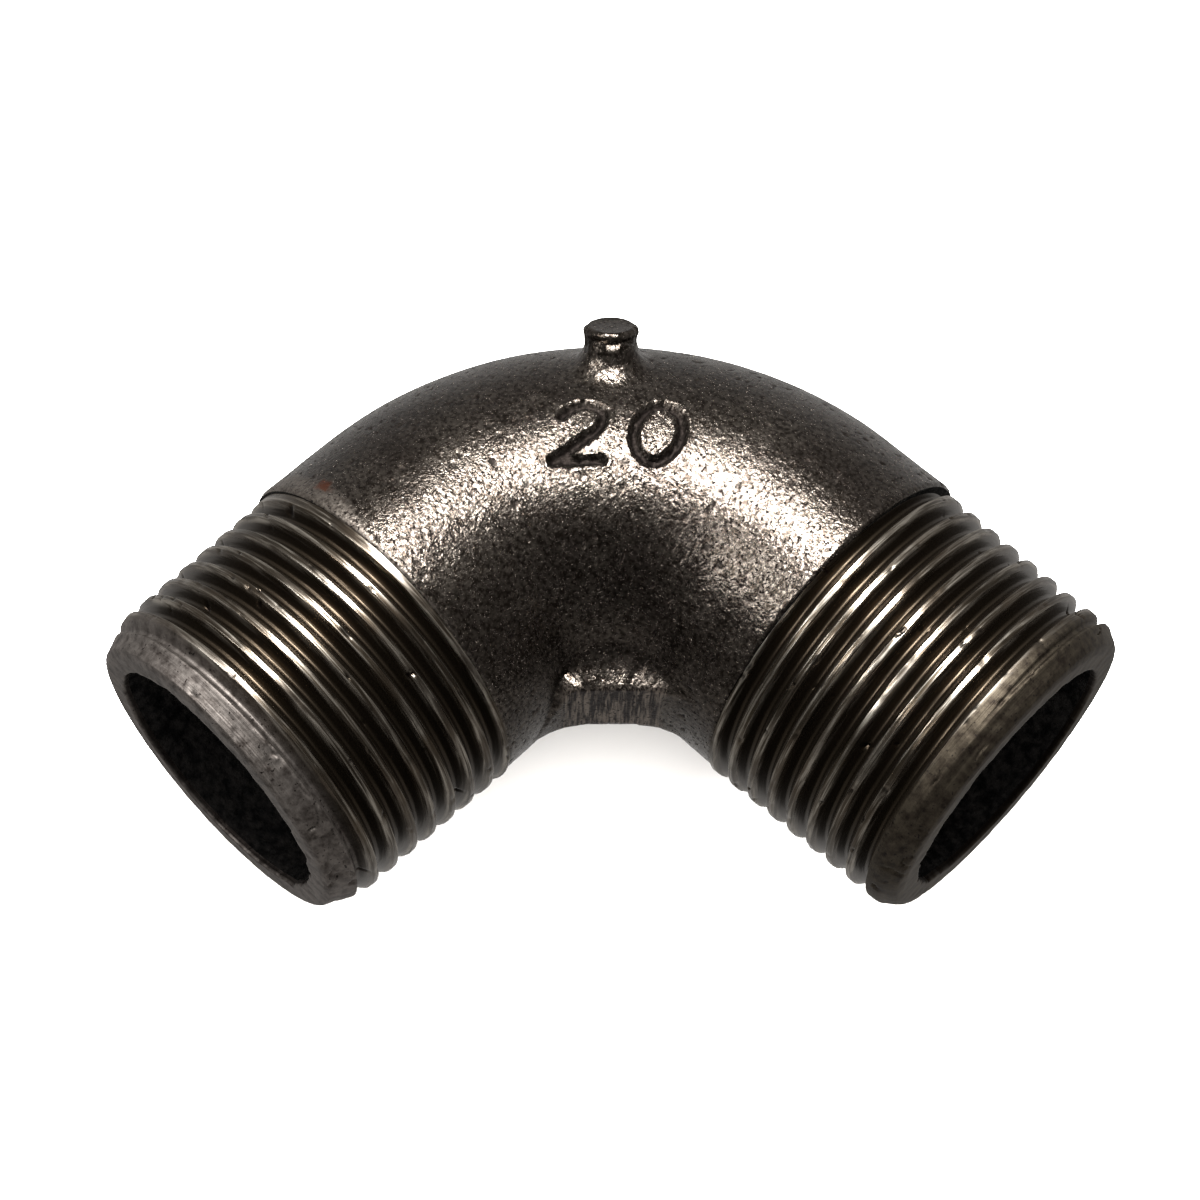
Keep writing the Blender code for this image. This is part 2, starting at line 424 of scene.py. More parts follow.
def stub_fillet(points):
    """How far the lumpy fillet of the vent stub raises the skin."""
    from_base = points - STUB_BASE
    gap = np.hypot(from_base @ ACROSS, from_base @ STUB_ABOVE) - STUB_RADIUS
    near_stub = (from_base @ STUB_AXIS) > STUB_FILLET_DEPTH
    below = -(from_base @ STUB_ABOVE) / (gap + STUB_RADIUS)
    fillet = STUB_FILLET + (STUB_FILLET_BELOW - STUB_FILLET) * smooth_step(below, 0.1, 0.85)
    rise = 1 - np.sqrt(1 - np.clip(1 - gap / fillet, 0, 1) ** 2)
    lumps = 1 + STUB_FILLET_LUMPS * rough(points, 0.7, 24) + STUB_FILLET_LUMPS * rough(points, 0.3, 26)
    return STUB_FILLET_HEIGHT * fillet * np.where(gap > 0, rise, 1) * near_stub * lumps


# The rust spot
RUST_BEHIND = 17.6  # middle of the rust spot, from port B's end face
RUST_ANGLE = math.radians(62.5)
RUST_EDGE = (0.60, 0.95)  # it fades out between these distances from its middle
RUST_RAGGED = 0.45
RUST_SHAPE = (1, 1.6, 1)  # shorter along the leg


def rust_spot(points):
    """The mask of the small rust spot beside port B's thread."""
    centre, side = centre_line(np.array([PATH_LENGTH - RUST_BEHIND]))
    spoke = side[0] * math.cos(RUST_ANGLE) + UP * math.sin(RUST_ANGLE)
    middle = centre[0] + side[0] * BODY_OFFSET + spoke * BODY_RADIUS
    gap = np.linalg.norm((points - middle) * RUST_SHAPE, axis=-1)
    return 1 - smooth_step(gap + RUST_RAGGED * rough(points, 0.5, 25), *RUST_EDGE)


BEND_MASKS = ("turned", "ground", "cut", "pit", "rust")


def bend_surface(path):
    """Points of the bend's outer skin and its masks, over the grid of stations and angles."""
    centre, side, directions = bend_frame(path, BEND_COLUMNS)
    starts = centre + side * BODY_OFFSET
    radius = np.full(directions.shape[:-1], BODY_RADIUS - SKIN_ALLOWANCE)
    near = starts + directions * radius[..., None]
    angle = ring_angles(BEND_COLUMNS)[None, :]
    from_b = (PATH_LENGTH - path)[:, None]
    from_a = path[:, None]

    radius, turned = cut_shoulders(radius, near, from_a, from_b, angle)
    cast = 1 - turned
    radius, pits = roughen_skin(radius, near, cast)
    radius = add_flash(radius, near, starts, angle, cast)
    radius = np.minimum(radius, BODY_RADIUS - SKIN_CLEARANCE)

    # The gate land grows out of the skin in the crotch, and its tip is ground flat
    land = gate_land_radius(starts, directions, radius)
    gate = smooth_step(land - radius, *GATE_EDGE)
    radius = smooth_max(radius, land, GATE_BLEND)
    points = starts + directions * radius[..., None]
    reach = (CROSSING - points) @ OUTWARD
    ground = gate * smooth_step(reach, GATE_REACH - GROUND_EDGE[0], GATE_REACH - GROUND_EDGE[1])

    radius = radius + stub_fillet(points)
    points = starts + directions * radius[..., None]
    relief, cut = size_mark(points)
    radius = radius + relief
    points = starts + directions * radius[..., None]
    rust = rust_spot(points)
    return points, {"turned": turned, "ground": ground, "cut": cut, "pit": pits * cast, "rust": rust}


def build_bend(materials):
    leg_a = np.linspace(PORT_A_SHOULDER, LEG_LENGTH, LEG_ROWS, endpoint=False)
    bend = np.linspace(LEG_LENGTH, LEG_LENGTH + BEND_LENGTH, BEND_ROWS)
    leg_b = PATH_LENGTH - np.linspace(PORT_B_SHOULDER, LEG_LENGTH, LEG_ROWS, endpoint=False)[::-1]
    points, masks = bend_surface(np.concatenate((leg_a, bend, leg_b)))
    shell = Shell(BEND_MASKS)
    outer = shell.add_points(points, **masks)
    shell.add_rings(outer)

    bore_path = np.linspace(PORT_A_SHOULDER, PATH_LENGTH - PORT_B_SHOULDER, BORE_ROWS)
    centre, side, directions = bend_frame(bore_path, BEND_BORE_COLUMNS)
    wall = centre + directions * BORE_RADIUS
    inner = shell.add_points(centre + directions * bore_radius(wall)[..., None])
    shell.add_rings(inner, 1)
    shell.add_fan_strip(outer[0], inner[0], 1)
    shell.add_fan_strip(outer[-1], inner[-1], 1)
    return shell.finish("cast_bend", materials, BEND_SHARP_ANGLE)


# ---------------------------------------------------------------------------------------------
# The vent stub
# ---------------------------------------------------------------------------------------------

STUB_WAIST = 0.09  # how much thinner the stub is than the CAD model's, apart from its lip and fins
STUB_WAVES = 0.04
STUB_LUMPS = 0.03
STUB_LIP = 0.09
STUB_LIP_PLACE = 0.45  # from the end
STUB_LIP_WIDTH = 0.20
STUB_EDGE_ROUNDING = 0.24
STUB_EDGE_LENGTH = 0.08
STUB_RIPPLE = 0.015  # on the side towards the crotch
STUB_RIPPLE_LENGTH = 0.55
STUB_FIN = 0.16
STUB_FIN_TURN = 0.12  # place and width, as sines of the angle from the sideways line
STUB_FIN_WIDTH = 0.09
STUB_END_SPACING = 0.75  # length of the closely spaced rings by the end
STUB_END_RINGS = (0.75, 0.52, 0.28, 0.1)  # on the end, as shares of the radius
STUB_DISH = 0.10  # how far the middle of the end is sunk
STUB_END_UNEVEN = 0.05


def build_stub(materials):
    """A short round peg with a burred end and a parting fin down each side."""
    end_heights = STUB_HEIGHT - STUB_END_SPACING * np.cos(np.linspace(0, math.pi / 2, STUB_END_ROWS))
    side_heights = np.linspace(-STUB_ROOT_DEPTH, end_heights[0], STUB_SIDE_ROWS, endpoint=False)
    angle = ring_angles(STUB_COLUMNS)
    spokes = ACROSS * np.cos(angle)[:, None] + STUB_ABOVE * np.sin(angle)[:, None]
    rippled = smooth_step(-np.sin(angle), 0.2, 0.7)
    fin = np.exp(-((np.abs(np.sin(angle)) - STUB_FIN_TURN) / STUB_FIN_WIDTH) ** 2)
    shell = Shell(BEND_MASKS)
    rings = []
    for height in np.concatenate((side_heights, end_heights)):
        centre = STUB_BASE + STUB_AXIS * height
        near = centre + spokes * STUB_RADIUS
        to_end = STUB_HEIGHT - height
        radius = STUB_RADIUS - STUB_WAIST + STUB_WAVES * rough(near, 1.1, 31)
        radius = radius + STUB_LUMPS * rough(near, 0.45, 32)
        radius = radius + STUB_LIP * math.exp(-((to_end - STUB_LIP_PLACE) / STUB_LIP_WIDTH) ** 2)
        radius = radius - STUB_EDGE_ROUNDING * math.exp(-to_end / STUB_EDGE_LENGTH)
        ripple = math.sin(height * 2 * math.pi / STUB_RIPPLE_LENGTH) * rippled
        radius = radius + STUB_RIPPLE * ripple + STUB_FIN * fin * (0.75 + 0.5 * rough(near, 1.4, 33))
        rings.append(shell.add_points(centre + spokes * radius[:, None]))
    for share in STUB_END_RINGS:
        centre = STUB_BASE + STUB_AXIS * (STUB_HEIGHT - STUB_DISH * (1 - share ** 2))
        near = centre + spokes * STUB_RADIUS * share
        uneven = rough(near, 0.5, 34)[:, None]
        rings.append(shell.add_points(near + spokes * STUB_END_UNEVEN * uneven))
    shell.add_rings(rings)
    for ring in (rings[0], rings[-1]):
        shell.faces.append([int(index) for index in ring])
        shell.slots.append(0)
    return shell.finish("vent_stub", materials, STUB_SHARP_ANGLE)


# ---------------------------------------------------------------------------------------------
# The threaded ends
# ---------------------------------------------------------------------------------------------

# Rows across half a turn of the thread, as shares of the pitch from the groove's middle: close
# together on the rounded roots and crests, further apart on the flanks
THREAD_ROWS = (0, 0.035, 0.07, 0.1, 0.122, 0.18, 0.26, 0.33, 0.37, 0.39, 0.42, 0.46, 0.5)
HELIX_START = 0.7  # nearer the end than this, the rings follow the rounded rim
HELIX_SPARE_TURNS = (2, 3)  # turns of rows beyond the leg's end and its shoulder; they are clipped

# Wear and damage
CREST_BLEND = 0.05
CREST_EDGE = (0.02, 0.20)  # the damage of the crests fades out between these depths below them
TEAR_STRETCH = 1.5  # makes the tears twice as long along the leg as they are round it
TEAR_DEPTH = 0.05
UNEVEN_DEPTH = 0.010
CHIP_DEPTH = 0.16
CHIP_SHADE = 0.6  # how dark the painted shade in the chips is, where a hole's is 1
HOLE_DEPTH = 0.25
RIM_WAVES = 0.05
RIM_LUMPS = 0.02
RIM_BLEND = 0.18  # of the end chamfer with the thread
RIM_FADE = (2.2, 3.2)  # the battered finish ends between these distances behind the end face
CRACK_DEPTH = 0.22
CRACK_WIDTH = 0.05  # in the noise that places the cracks


class Port:
    """One threaded end: its direction and the sizes in which it differs from the other."""

    def __init__(self, name, axis, first_turn, lead_in, run_out, shoulder, rim, ragged_side, seed):
        self.name = name
        self.axis = axis
        self.first_turn = first_turn
        self.lead_in = lead_in  # the grooves deepen between these two places
        self.run_out = run_out  # and rise out of the metal again between these
        self.shoulder = shoulder
        self.rim = rim  # pairs of distance behind the end face and radius along the end chamfer
        self.ragged_side = ragged_side  # where the lip of the bore is torn
        self.seed = seed
        self.end = CROSSING + axis * CENTRE_TO_END
        self.side = np.cross(UP, axis)

    def place(self, behind, angle, radius):
        spokes = np.cos(angle)[..., None] * self.side + np.sin(angle)[..., None] * UP
        return self.end - behind[..., None] * self.axis + spokes * radius[..., None]

    def rim_radius(self, behind):
        distances, radii = zip(*self.rim)
        return np.interp(behind, distances, radii)


def crest_radius(behind):
    return GAUGE_RADIUS + (behind - GAUGE_LENGTH) * TAPER


def thread_drop(offset):
    """Depth of the rounded 55 degree form below its crest, at distances from a groove's middle."""
    from_root = np.abs(offset)
    from_crest = THREAD_PITCH / 2 - from_root
    reach = THREAD_ROUNDING * math.cos(THREAD_HALF_ANGLE)  # of each rounding, before its flank
    shallow = THREAD_ROUNDING * (1 - math.sin(THREAD_HALF_ANGLE))
    flank = shallow + (from_crest - reach) / math.tan(THREAD_HALF_ANGLE)
    crest = THREAD_ROUNDING - np.sqrt(THREAD_ROUNDING ** 2 - np.minimum(from_crest, reach) ** 2)
    root = THREAD_ROUNDING - np.sqrt(THREAD_ROUNDING ** 2 - np.minimum(from_root, reach) ** 2)
    return np.where(from_crest < reach, crest, np.where(from_root < reach, THREAD_DEPTH - root, flank))


def thread_surface(port, behind, angle):
    """Radius of the threaded outside, and its masks, at these places."""
    crest = crest_radius(behind)
    turn = behind - port.first_turn + THREAD_PITCH * angle / (2 * math.pi)
    offset = (turn / THREAD_PITCH + 0.5) % 1 * THREAD_PITCH - THREAD_PITCH / 2
    middle = behind - offset
    at_crest = port.place(behind, angle, crest)
    seed = port.seed

    share = smooth_step(middle, *port.lead_in) * (1 - smooth_step(middle, *port.run_out))
    groove = thread_drop(offset) - (1 - share) * THREAD_DEPTH
    groove = smooth_max(groove, np.full_like(groove, CREST_WEAR), CREST_BLEND)

    # Torn crests, dents and blowholes
    stretched = at_crest + port.axis * behind[..., None] * TEAR_STRETCH
    tear = smooth_step(rough(stretched, 1.3, seed + 1), 0.15, 0.75)
    on_crest = 1 - smooth_step(groove - CREST_WEAR, *CREST_EDGE)
    uneven = UNEVEN_DEPTH * (1 + rough(at_crest, 3.0, seed + 2))
    chip = smooth_step(rough(at_crest, 0.75, seed + 3), 0.52, 0.72)
    holes = smooth_step(rough(at_crest, 0.62, seed + 4), 0.66, 0.78)
    radius = crest - groove - TEAR_DEPTH * tear * on_crest - uneven
    radius = radius - CHIP_DEPTH * chip * on_crest - HOLE_DEPTH * holes

    # The end chamfer, hammered and uneven
    rim = port.rim_radius(behind) + RIM_WAVES * rough(at_crest, 2.4, seed + 5)
    rim = rim + RIM_LUMPS * rough(at_crest, 0.7, seed + 6)
    crack = np.clip(1 - np.abs(rough(at_crest, 2.1, seed + 10)) / CRACK_WIDTH, 0, 1)
    rim = rim - CRACK_DEPTH * crack * smooth_step(rough(at_crest, 3.5, seed + 11), 0.0, 0.3)
    radius = smooth_min(radius, rim, RIM_BLEND)
    chamfered = smooth_step(crest - groove - rim, -0.10, 0.12)
    masks = {
        "groove": smooth_step(crest - radius - CREST_WEAR, 0.05, 0.85) * (1 - chamfered),
        "rim": np.maximum(chamfered, 1 - smooth_step(behind, *RIM_FADE)),
        "pit": np.maximum(holes, CHIP_SHADE * chip * on_crest),
    }
    return np.minimum(radius, crest), masks


def helix_phases():
    """Distances of the thread rows from the first groove's middle, and the rows in one turn."""
    half = np.array(THREAD_ROWS)
    one_turn = np.concatenate((half, 1 - half[-2:0:-1]))
    before, after = HELIX_SPARE_TURNS
    turns = range(-before, math.ceil(THREAD_LENGTH / THREAD_PITCH) + after)
    return np.concatenate([one_turn + k for k in turns]) * THREAD_PITCH, len(one_turn)


def add_helix(shell, port, angle):
    """The thread's surface on rows that follow the helix; returns its last ring, at the shoulder."""
    phases, rows_per_turn = helix_phases()
    behind = phases[:, None] + port.first_turn - THREAD_PITCH * angle / (2 * math.pi)
    behind = np.clip(behind, HELIX_START, port.shoulder)
    angles = np.broadcast_to(angle, behind.shape)
    radius, masks = thread_surface(port, behind, angles)
    grid = shell.add_points(port.place(behind, angles, radius), **masks)
    for k in range(len(grid) - 1):
        first, second = grid[k], grid[k + 1]
        # After a full circle a row goes on where the row one turn nearer the end began
        wrapped = [grid[max(0, row - rows_per_turn)][0] for row in (k, k + 1)]
        next_first = np.append(first[1:], wrapped[0])
        next_second = np.append(second[1:], wrapped[1])
        quads = np.stack((first, next_first, next_second, second), axis=1)
        shell.faces.extend(quads.tolist())
        shell.slots.extend([0] * len(quads))
    return grid[-1]


# The end face and the lip of the bore
FACE_EDGE_BEHIND = 0.15  # where the chamfer's rounded corner begins
CHAMFER_ROWS = 8
FACE_UNEVEN = 0.04
FACE_CALM = 0.2  # the unevenness dies away over this share, towards the lip
LIP_ALLOWANCE = 0.05
LIP_TEETH = 0.7  # how far the lip is torn away, in long bites
LIP_NICKS = 0.35  # and in short ones
LIP_SMOOTH_SHARE = 0.3  # of the teeth, on the side that is not torn
LIP_SHADE = 0.75  # how dark the painted shade in the bore is beside the lip, before its own finish begins
LIP_FADE = (0.1, 1.6)  # the lip becomes the cored bore between these distances
LIP_ROWS = 10
LIP_LENGTH = (0.3, 2.5)
BORE_START = 3.1
LEG_BORE_ROWS = 16
# Rings over the end face: distance behind it, and share of the way from the lip to the edge
FACE_RINGS = (
    (0.05, 0.97), (0.0, 0.9), (0.0, 0.75), (0.0, 0.6), (0.0, 0.45), (0.0, 0.3),
    (0.0, 0.15), (0.02, 0.05), (0.10, 0.0),
)


def lip_radius(port, angle):
    """The lip of the bore, torn on one side."""
    near = port.place(np.zeros_like(angle), angle, np.full(angle.shape, BORE_RADIUS))
    torn = np.clip(rough(near, 1.5, port.seed + 7), 0, 1)
    teeth = LIP_TEETH * torn + LIP_NICKS * np.clip(rough(near, 0.45, port.seed + 8), 0, 1)
    ragged = smooth_step(np.cos(angle - port.ragged_side), -0.2, 0.5)
    return BORE_RADIUS + LIP_ALLOWANCE + teeth * (LIP_SMOOTH_SHARE + (1 - LIP_SMOOTH_SHARE) * ragged)


def build_threaded_end(port, materials):
    shell = Shell(("groove", "rim", "pit"))
    angle = ring_angles(THREAD_COLUMNS)
    shoulder_ring = add_helix(shell, port, angle)

    def ring(distance, radii, **masks):
        distances = np.broadcast_to(distance, angle.shape)
        radii = np.broadcast_to(radii, angle.shape)
        return shell.add_points(port.place(distances, angle, radii), **masks)

    # The rim: the chamfer's first part, the rounded corner, the end face and the lip of the bore
    rings = []
    for distance in np.linspace(HELIX_START, FACE_EDGE_BEHIND, CHAMFER_ROWS):
        radii, masks = thread_surface(port, np.full(angle.shape, distance), angle)
        rings.append(ring(distance, radii, **masks))
    face_edge = port.rim_radius(0.0)
    lip = lip_radius(port, angle)
    for distance, share in FACE_RINGS:
        radii = lip + (face_edge - lip) * share
        place = port.place(np.zeros_like(angle), angle, radii)
        calm = min(1, share / FACE_CALM)
        uneven = distance + FACE_UNEVEN * (1 + rough(place, 1.1, port.seed + 9)) * calm
        rings.append(ring(uneven, radii, rim=1.0))
    shell.add_rings(rings)

    # The bore: its first part has the finish of the rim, darkened by painted shade, the rest its own
    lip_rows = np.linspace(*LIP_LENGTH, LIP_ROWS)
    walls = [rings[-1]]
    for distance in np.concatenate((lip_rows, np.linspace(BORE_START, port.shoulder, LEG_BORE_ROWS))):
        distances = np.full(angle.shape, distance)
        wall = port.place(distances, angle, np.full(angle.shape, BORE_RADIUS))
        fade = 1 - smooth_step(distances, *LIP_FADE)
        radii = bore_radius(wall) * (1 - fade) + lip * fade
        walls.append(ring(distance, radii, rim=1.0, pit=LIP_SHADE))
    shell.add_rings(walls[:3])
    shell.add_rings(walls[2:], 1)
    shell.add_strip(shoulder_ring, walls[-1], 1)
    return shell.finish(port.name, materials, THREAD_SHARP_ANGLE)


# ---------------------------------------------------------------------------------------------
# Materials
# ---------------------------------------------------------------------------------------------


class Finish:
    """A metallic material, and short calls for the nodes that its patterns use."""

    def __init__(self, name):
        self.material = bpy.data.materials.new(name)
        self.material.use_nodes = True
        self.tree = self.material.node_tree
        self.shader = self.tree.nodes["Principled BSDF"]
        place = self.tree.nodes.new("ShaderNodeTexCoord")
        scale = self.tree.nodes.new("ShaderNodeVectorMath")
        scale.operation = "SCALE"
        scale.inputs["Scale"].default_value = 1 / MM
        self.tree.links.new(place.outputs["Object"], scale.inputs[0])
        self.place = scale.outputs[0]

    def feed(self, socket, value):
        if isinstance(value, bpy.types.NodeSocket):
            self.tree.links.new(value, socket)
        else:
            socket.default_value = value

    def mask(self, name):
        node = self.tree.nodes.new("ShaderNodeAttribute")
        node.attribute_name = name
        return node.outputs["Fac"]

    def stretched(self, turn, scale):
        """The place in millimetres, turned about the vertical and then scaled."""
        node = self.tree.nodes.new("ShaderNodeMapping")
        node.vector_type = "POINT"
        node.inputs["Rotation"].default_value = (0, 0, turn)
        node.inputs["Scale"].default_value = scale
        self.tree.links.new(self.place, node.inputs["Vector"])
        return node.outputs["Vector"]

    def noise(self, size, detail=2.0, roughness=0.5, place=None):
        node = self.tree.nodes.new("ShaderNodeTexNoise")
        node.inputs["Scale"].default_value = 1 / size
        node.inputs["Detail"].default_value = detail
        node.inputs["Roughness"].default_value = roughness
        self.tree.links.new(place or self.place, node.inputs["Vector"])
        return node.outputs["Fac"]

    def span(self, value, low, high, to_low=0.0, to_high=1.0):
        node = self.tree.nodes.new("ShaderNodeMapRange")
        node.inputs["From Min"].default_value = low
        node.inputs["From Max"].default_value = high
        node.inputs["To Min"].default_value = to_low
        node.inputs["To Max"].default_value = to_high
        self.tree.links.new(value, node.inputs["Value"])
        return node.outputs["Result"]

    def combine(self, operation, first, second):
        node = self.tree.nodes.new("ShaderNodeMath")
        node.operation = operation
        self.feed(node.inputs[0], first)
        self.feed(node.inputs[1], second)
        return node.outputs[0]

    def mix(self, share, first, second):
        node = self.tree.nodes.new("ShaderNodeMix")
        node.data_type = "RGBA"
        self.feed(node.inputs["Factor"], share)
        self.feed(node.inputs["A"], first)
        self.feed(node.inputs["B"], second)
        return node.outputs["Result"]

    def blend(self, share, first, second):
        node = self.tree.nodes.new("ShaderNodeMix")
        node.data_type = "FLOAT"
        self.feed(node.inputs["Factor"], share)
        self.feed(node.inputs["A"], first)
        self.feed(node.inputs["B"], second)
        return node.outputs["Result"]

    def bump(self, height, depth, normal=None):
        node = self.tree.nodes.new("ShaderNodeBump")
        node.inputs["Distance"].default_value = depth * MM
        self.tree.links.new(height, node.inputs["Height"])
        if normal:
            self.tree.links.new(normal, node.inputs["Normal"])
        return node.outputs["Normal"]

    def finish(self, colour, roughness, normal, metallic=1.0):
        self.feed(self.shader.inputs["Base Color"], colour)
        self.feed(self.shader.inputs["Roughness"], roughness)
        self.feed(self.shader.inputs["Normal"], normal)
        self.shader.inputs["Metallic"].default_value = metallic
        return self.material


# Colours, linear
# Near black: painted shade in the size mark's strokes and in pits, and dark flecks of dirt
DIRT_AND_SHADE = (0.010, 0.008, 0.007, 1)
SKIN_DARK = (0.058, 0.049, 0.042, 1)
SKIN_LIGHT = (0.090, 0.078, 0.066, 1)
SKIN_SPECKLE = (0.018, 0.014, 0.011, 1)
TURNED_DARK = (0.055, 0.046, 0.039, 1)
TURNED_LIGHT = (0.12, 0.105, 0.09, 1)
GROUND_DARK = (0.012, 0.009, 0.008, 1)
GROUND_LIGHT = (0.15, 0.127, 0.107, 1)
RUST = (0.075, 0.027, 0.014, 1)
CUT_DARK = (0.075, 0.062, 0.049, 1)
CUT_LIGHT = (0.26, 0.237, 0.203, 1)
CUT_LINES = (0.040, 0.032, 0.023, 1)
CUT_STAIN = (0.070, 0.053, 0.037, 1)
# Painted shade in the thread's grooves
GROOVE_SHADE = (0.030, 0.023, 0.016, 1)
# Painted shade in the blowholes and chips of the threads, and in the bore beside its lip
HOLE_SHADE = (0.010, 0.007, 0.006, 1)
RIM_A_COLOURS = ((0.012, 0.009, 0.007, 1), (0.040, 0.033, 0.024, 1))  # brown: dark, light
RIM_B_COLOURS = ((0.028, 0.023, 0.020, 1), (0.108, 0.096, 0.087, 1))  # grey: dark, light
# The bore: dark sooty scale, held near black as painted shade as well
SOOT_AND_SHADE_DARK = (0.0004, 0.0004, 0.0004, 1)
SOOT_AND_SHADE_LIGHT = (0.0024, 0.0021, 0.0019, 1)
FLOOR_DARK = (0.86, 0.86, 0.855, 1)
FLOOR_LIGHT = (0.89, 0.89, 0.885, 1)

# Roughness
SKIN_ROUGHNESS = (0.18, 0.27)
WORKED_ROUGHNESS = 0.42
DIRT_AND_SHADE_ROUGHNESS = 0.55
CUT_ROUGHNESS = (0.20, 0.32)
GROOVE_ROUGHNESS = 0.34
RIM_ROUGHNESS = 0.56
SOOT_ROUGHNESS = 0.75
SOOT_SPECULAR = 0.03
FLOOR_ROUGHNESS = 0.9


def cast_skin():
    """Black, lightly oiled casting skin: pebbled, mottled and pitted, with painted shade in the strokes
    of the size mark and in the pits.
    """
    skin = Finish("cast_skin")
    turned = skin.mask("turned")
    ground = skin.mask("ground")
    cut = skin.mask("cut")
    pit = skin.mask("pit")
    worked = skin.combine("MAXIMUM", turned, ground)

    patches = skin.noise(4.5, 3)
    speckle = skin.noise(0.32, 3, 0.65)
    colour = skin.mix(skin.span(patches, 0.35, 0.65), SKIN_DARK, SKIN_LIGHT)
    colour = skin.mix(skin.span(speckle, 0.40, 0.58), SKIN_SPECKLE, colour)
    dull = skin.mix(skin.span(speckle, 0.40, 0.60), TURNED_DARK, TURNED_LIGHT)
    colour = skin.mix(turned, colour, dull)
    streaks = skin.noise(0.22, 3, 0.6, skin.stretched(math.radians(-45), (1, 1, 0.08)))
    scraped = skin.mix(skin.span(streaks, 0.42, 0.58), GROUND_DARK, GROUND_LIGHT)
    colour = skin.mix(ground, colour, scraped)
    specks = skin.span(skin.noise(0.24, 2, 0.6), 0.595, 0.64)
    # Painted shade: the strokes of the size mark and the pits are painted near black; the specks are
    # dark flecks of the skin itself
    dark = skin.combine("MAXIMUM", skin.combine("MAXIMUM", cut, pit), specks)
    colour = skin.mix(dark, colour, DIRT_AND_SHADE)
    colour = skin.mix(skin.mask("rust"), colour, RUST)

    roughness = skin.span(skin.noise(1.2, 2), 0.3, 0.7, *SKIN_ROUGHNESS)
    roughness = skin.blend(worked, roughness, WORKED_ROUGHNESS)
    roughness = skin.blend(dark, roughness, DIRT_AND_SHADE_ROUGHNESS)

    grain = skin.noise(0.30, 3, 0.6)
    fine = skin.noise(0.15, 2, 0.6)
    normal = skin.bump(grain, depth=0.050)
    normal = skin.bump(fine, depth=0.006, normal=normal)
    normal = skin.bump(skin.span(specks, 0, 1, 1, 0), depth=0.035, normal=normal)
    scores = skin.combine("MULTIPLY", streaks, ground)
    normal = skin.bump(scores, depth=0.08, normal=normal)
    return skin.finish(colour, roughness, normal)


def cut_thread(port, rim_colours):
    """Threaded metal: fine turning lines, painted shade in the grooves, and a battered rim."""
    iron = Finish("cut_" + port.name)
    groove = iron.mask("groove")
    rim = iron.mask("rim")
    pit = iron.mask("pit")

    along = np.abs(port.axis)
    lines = iron.noise(0.17, 2, 0.6, iron.stretched(0, tuple(along + (1 - along) * 0.03)))
    bands = iron.noise(0.32, 3, 0.55, iron.stretched(0, tuple(along + (1 - along) * 0.07)))
    patches = iron.noise(3.0, 3, 0.6)
    mottle = iron.noise(0.75, 4, 0.65)

    metal = iron.mix(iron.span(bands, 0.42, 0.58), CUT_DARK, CUT_LIGHT)
    metal = iron.mix(iron.span(lines, 0.40, 0.56), CUT_LINES, metal)
    metal = iron.mix(iron.span(patches, 0.46, 0.66, 0, 0.55), metal, CUT_STAIN)
    # Painted shade: the grooves and their flanks are darkened with depth below the crest
    metal = iron.mix(iron.span(groove, 0.08, 0.60), metal, GROOVE_SHADE)
    battered = iron.mix(iron.span(mottle, 0.30, 0.62), *rim_colours)
    flecks = iron.span(iron.noise(0.30, 3, 0.65), 0.62, 0.66)
    battered = iron.mix(flecks, battered, DIRT_AND_SHADE)
    colour = iron.mix(rim, metal, battered)
    # Painted shade in the blowholes, the chips and the bore beside its lip
    colour = iron.mix(pit, colour, HOLE_SHADE)

    roughness = iron.span(bands, 0.3, 0.7, *CUT_ROUGHNESS)
    roughness = iron.blend(groove, roughness, GROOVE_ROUGHNESS)
    roughness = iron.blend(rim, roughness, RIM_ROUGHNESS)

    normal = iron.bump(lines, depth=0.038)
    normal = iron.bump(iron.combine("MULTIPLY", mottle, rim), depth=0.022, normal=normal)
    normal = iron.bump(bands, depth=0.010, normal=normal)
    return iron.finish(colour, roughness, normal)


def bore_skin():
    """The inside: sooty, rough core scale, its colour held near black as painted shade as well."""
    soot_and_shade = Finish("bore_skin")
    lumps = soot_and_shade.noise(0.8, 3, 0.6)
    colour = soot_and_shade.mix(soot_and_shade.span(lumps, 0.4, 0.65), SOOT_AND_SHADE_DARK, SOOT_AND_SHADE_LIGHT)
    normal = soot_and_shade.bump(soot_and_shade.noise(0.5, 3, 0.6), depth=0.20)
    soot_and_shade.shader.inputs["Specular IOR Level"].default_value = SOOT_SPECULAR
    return soot_and_shade.finish(colour, SOOT_ROUGHNESS, normal, metallic=0.0)


def floor_finish():
    floor = Finish("pale_floor")
    tone = floor.span(floor.noise(40, 2), 0.3, 0.7)
    floor.feed(floor.shader.inputs["Base Color"], floor.mix(tone, FLOOR_DARK, FLOOR_LIGHT))
    floor.shader.inputs["Roughness"].default_value = FLOOR_ROUGHNESS
    return floor.material


# ---------------------------------------------------------------------------------------------
# Stage, light and camera
# ---------------------------------------------------------------------------------------------

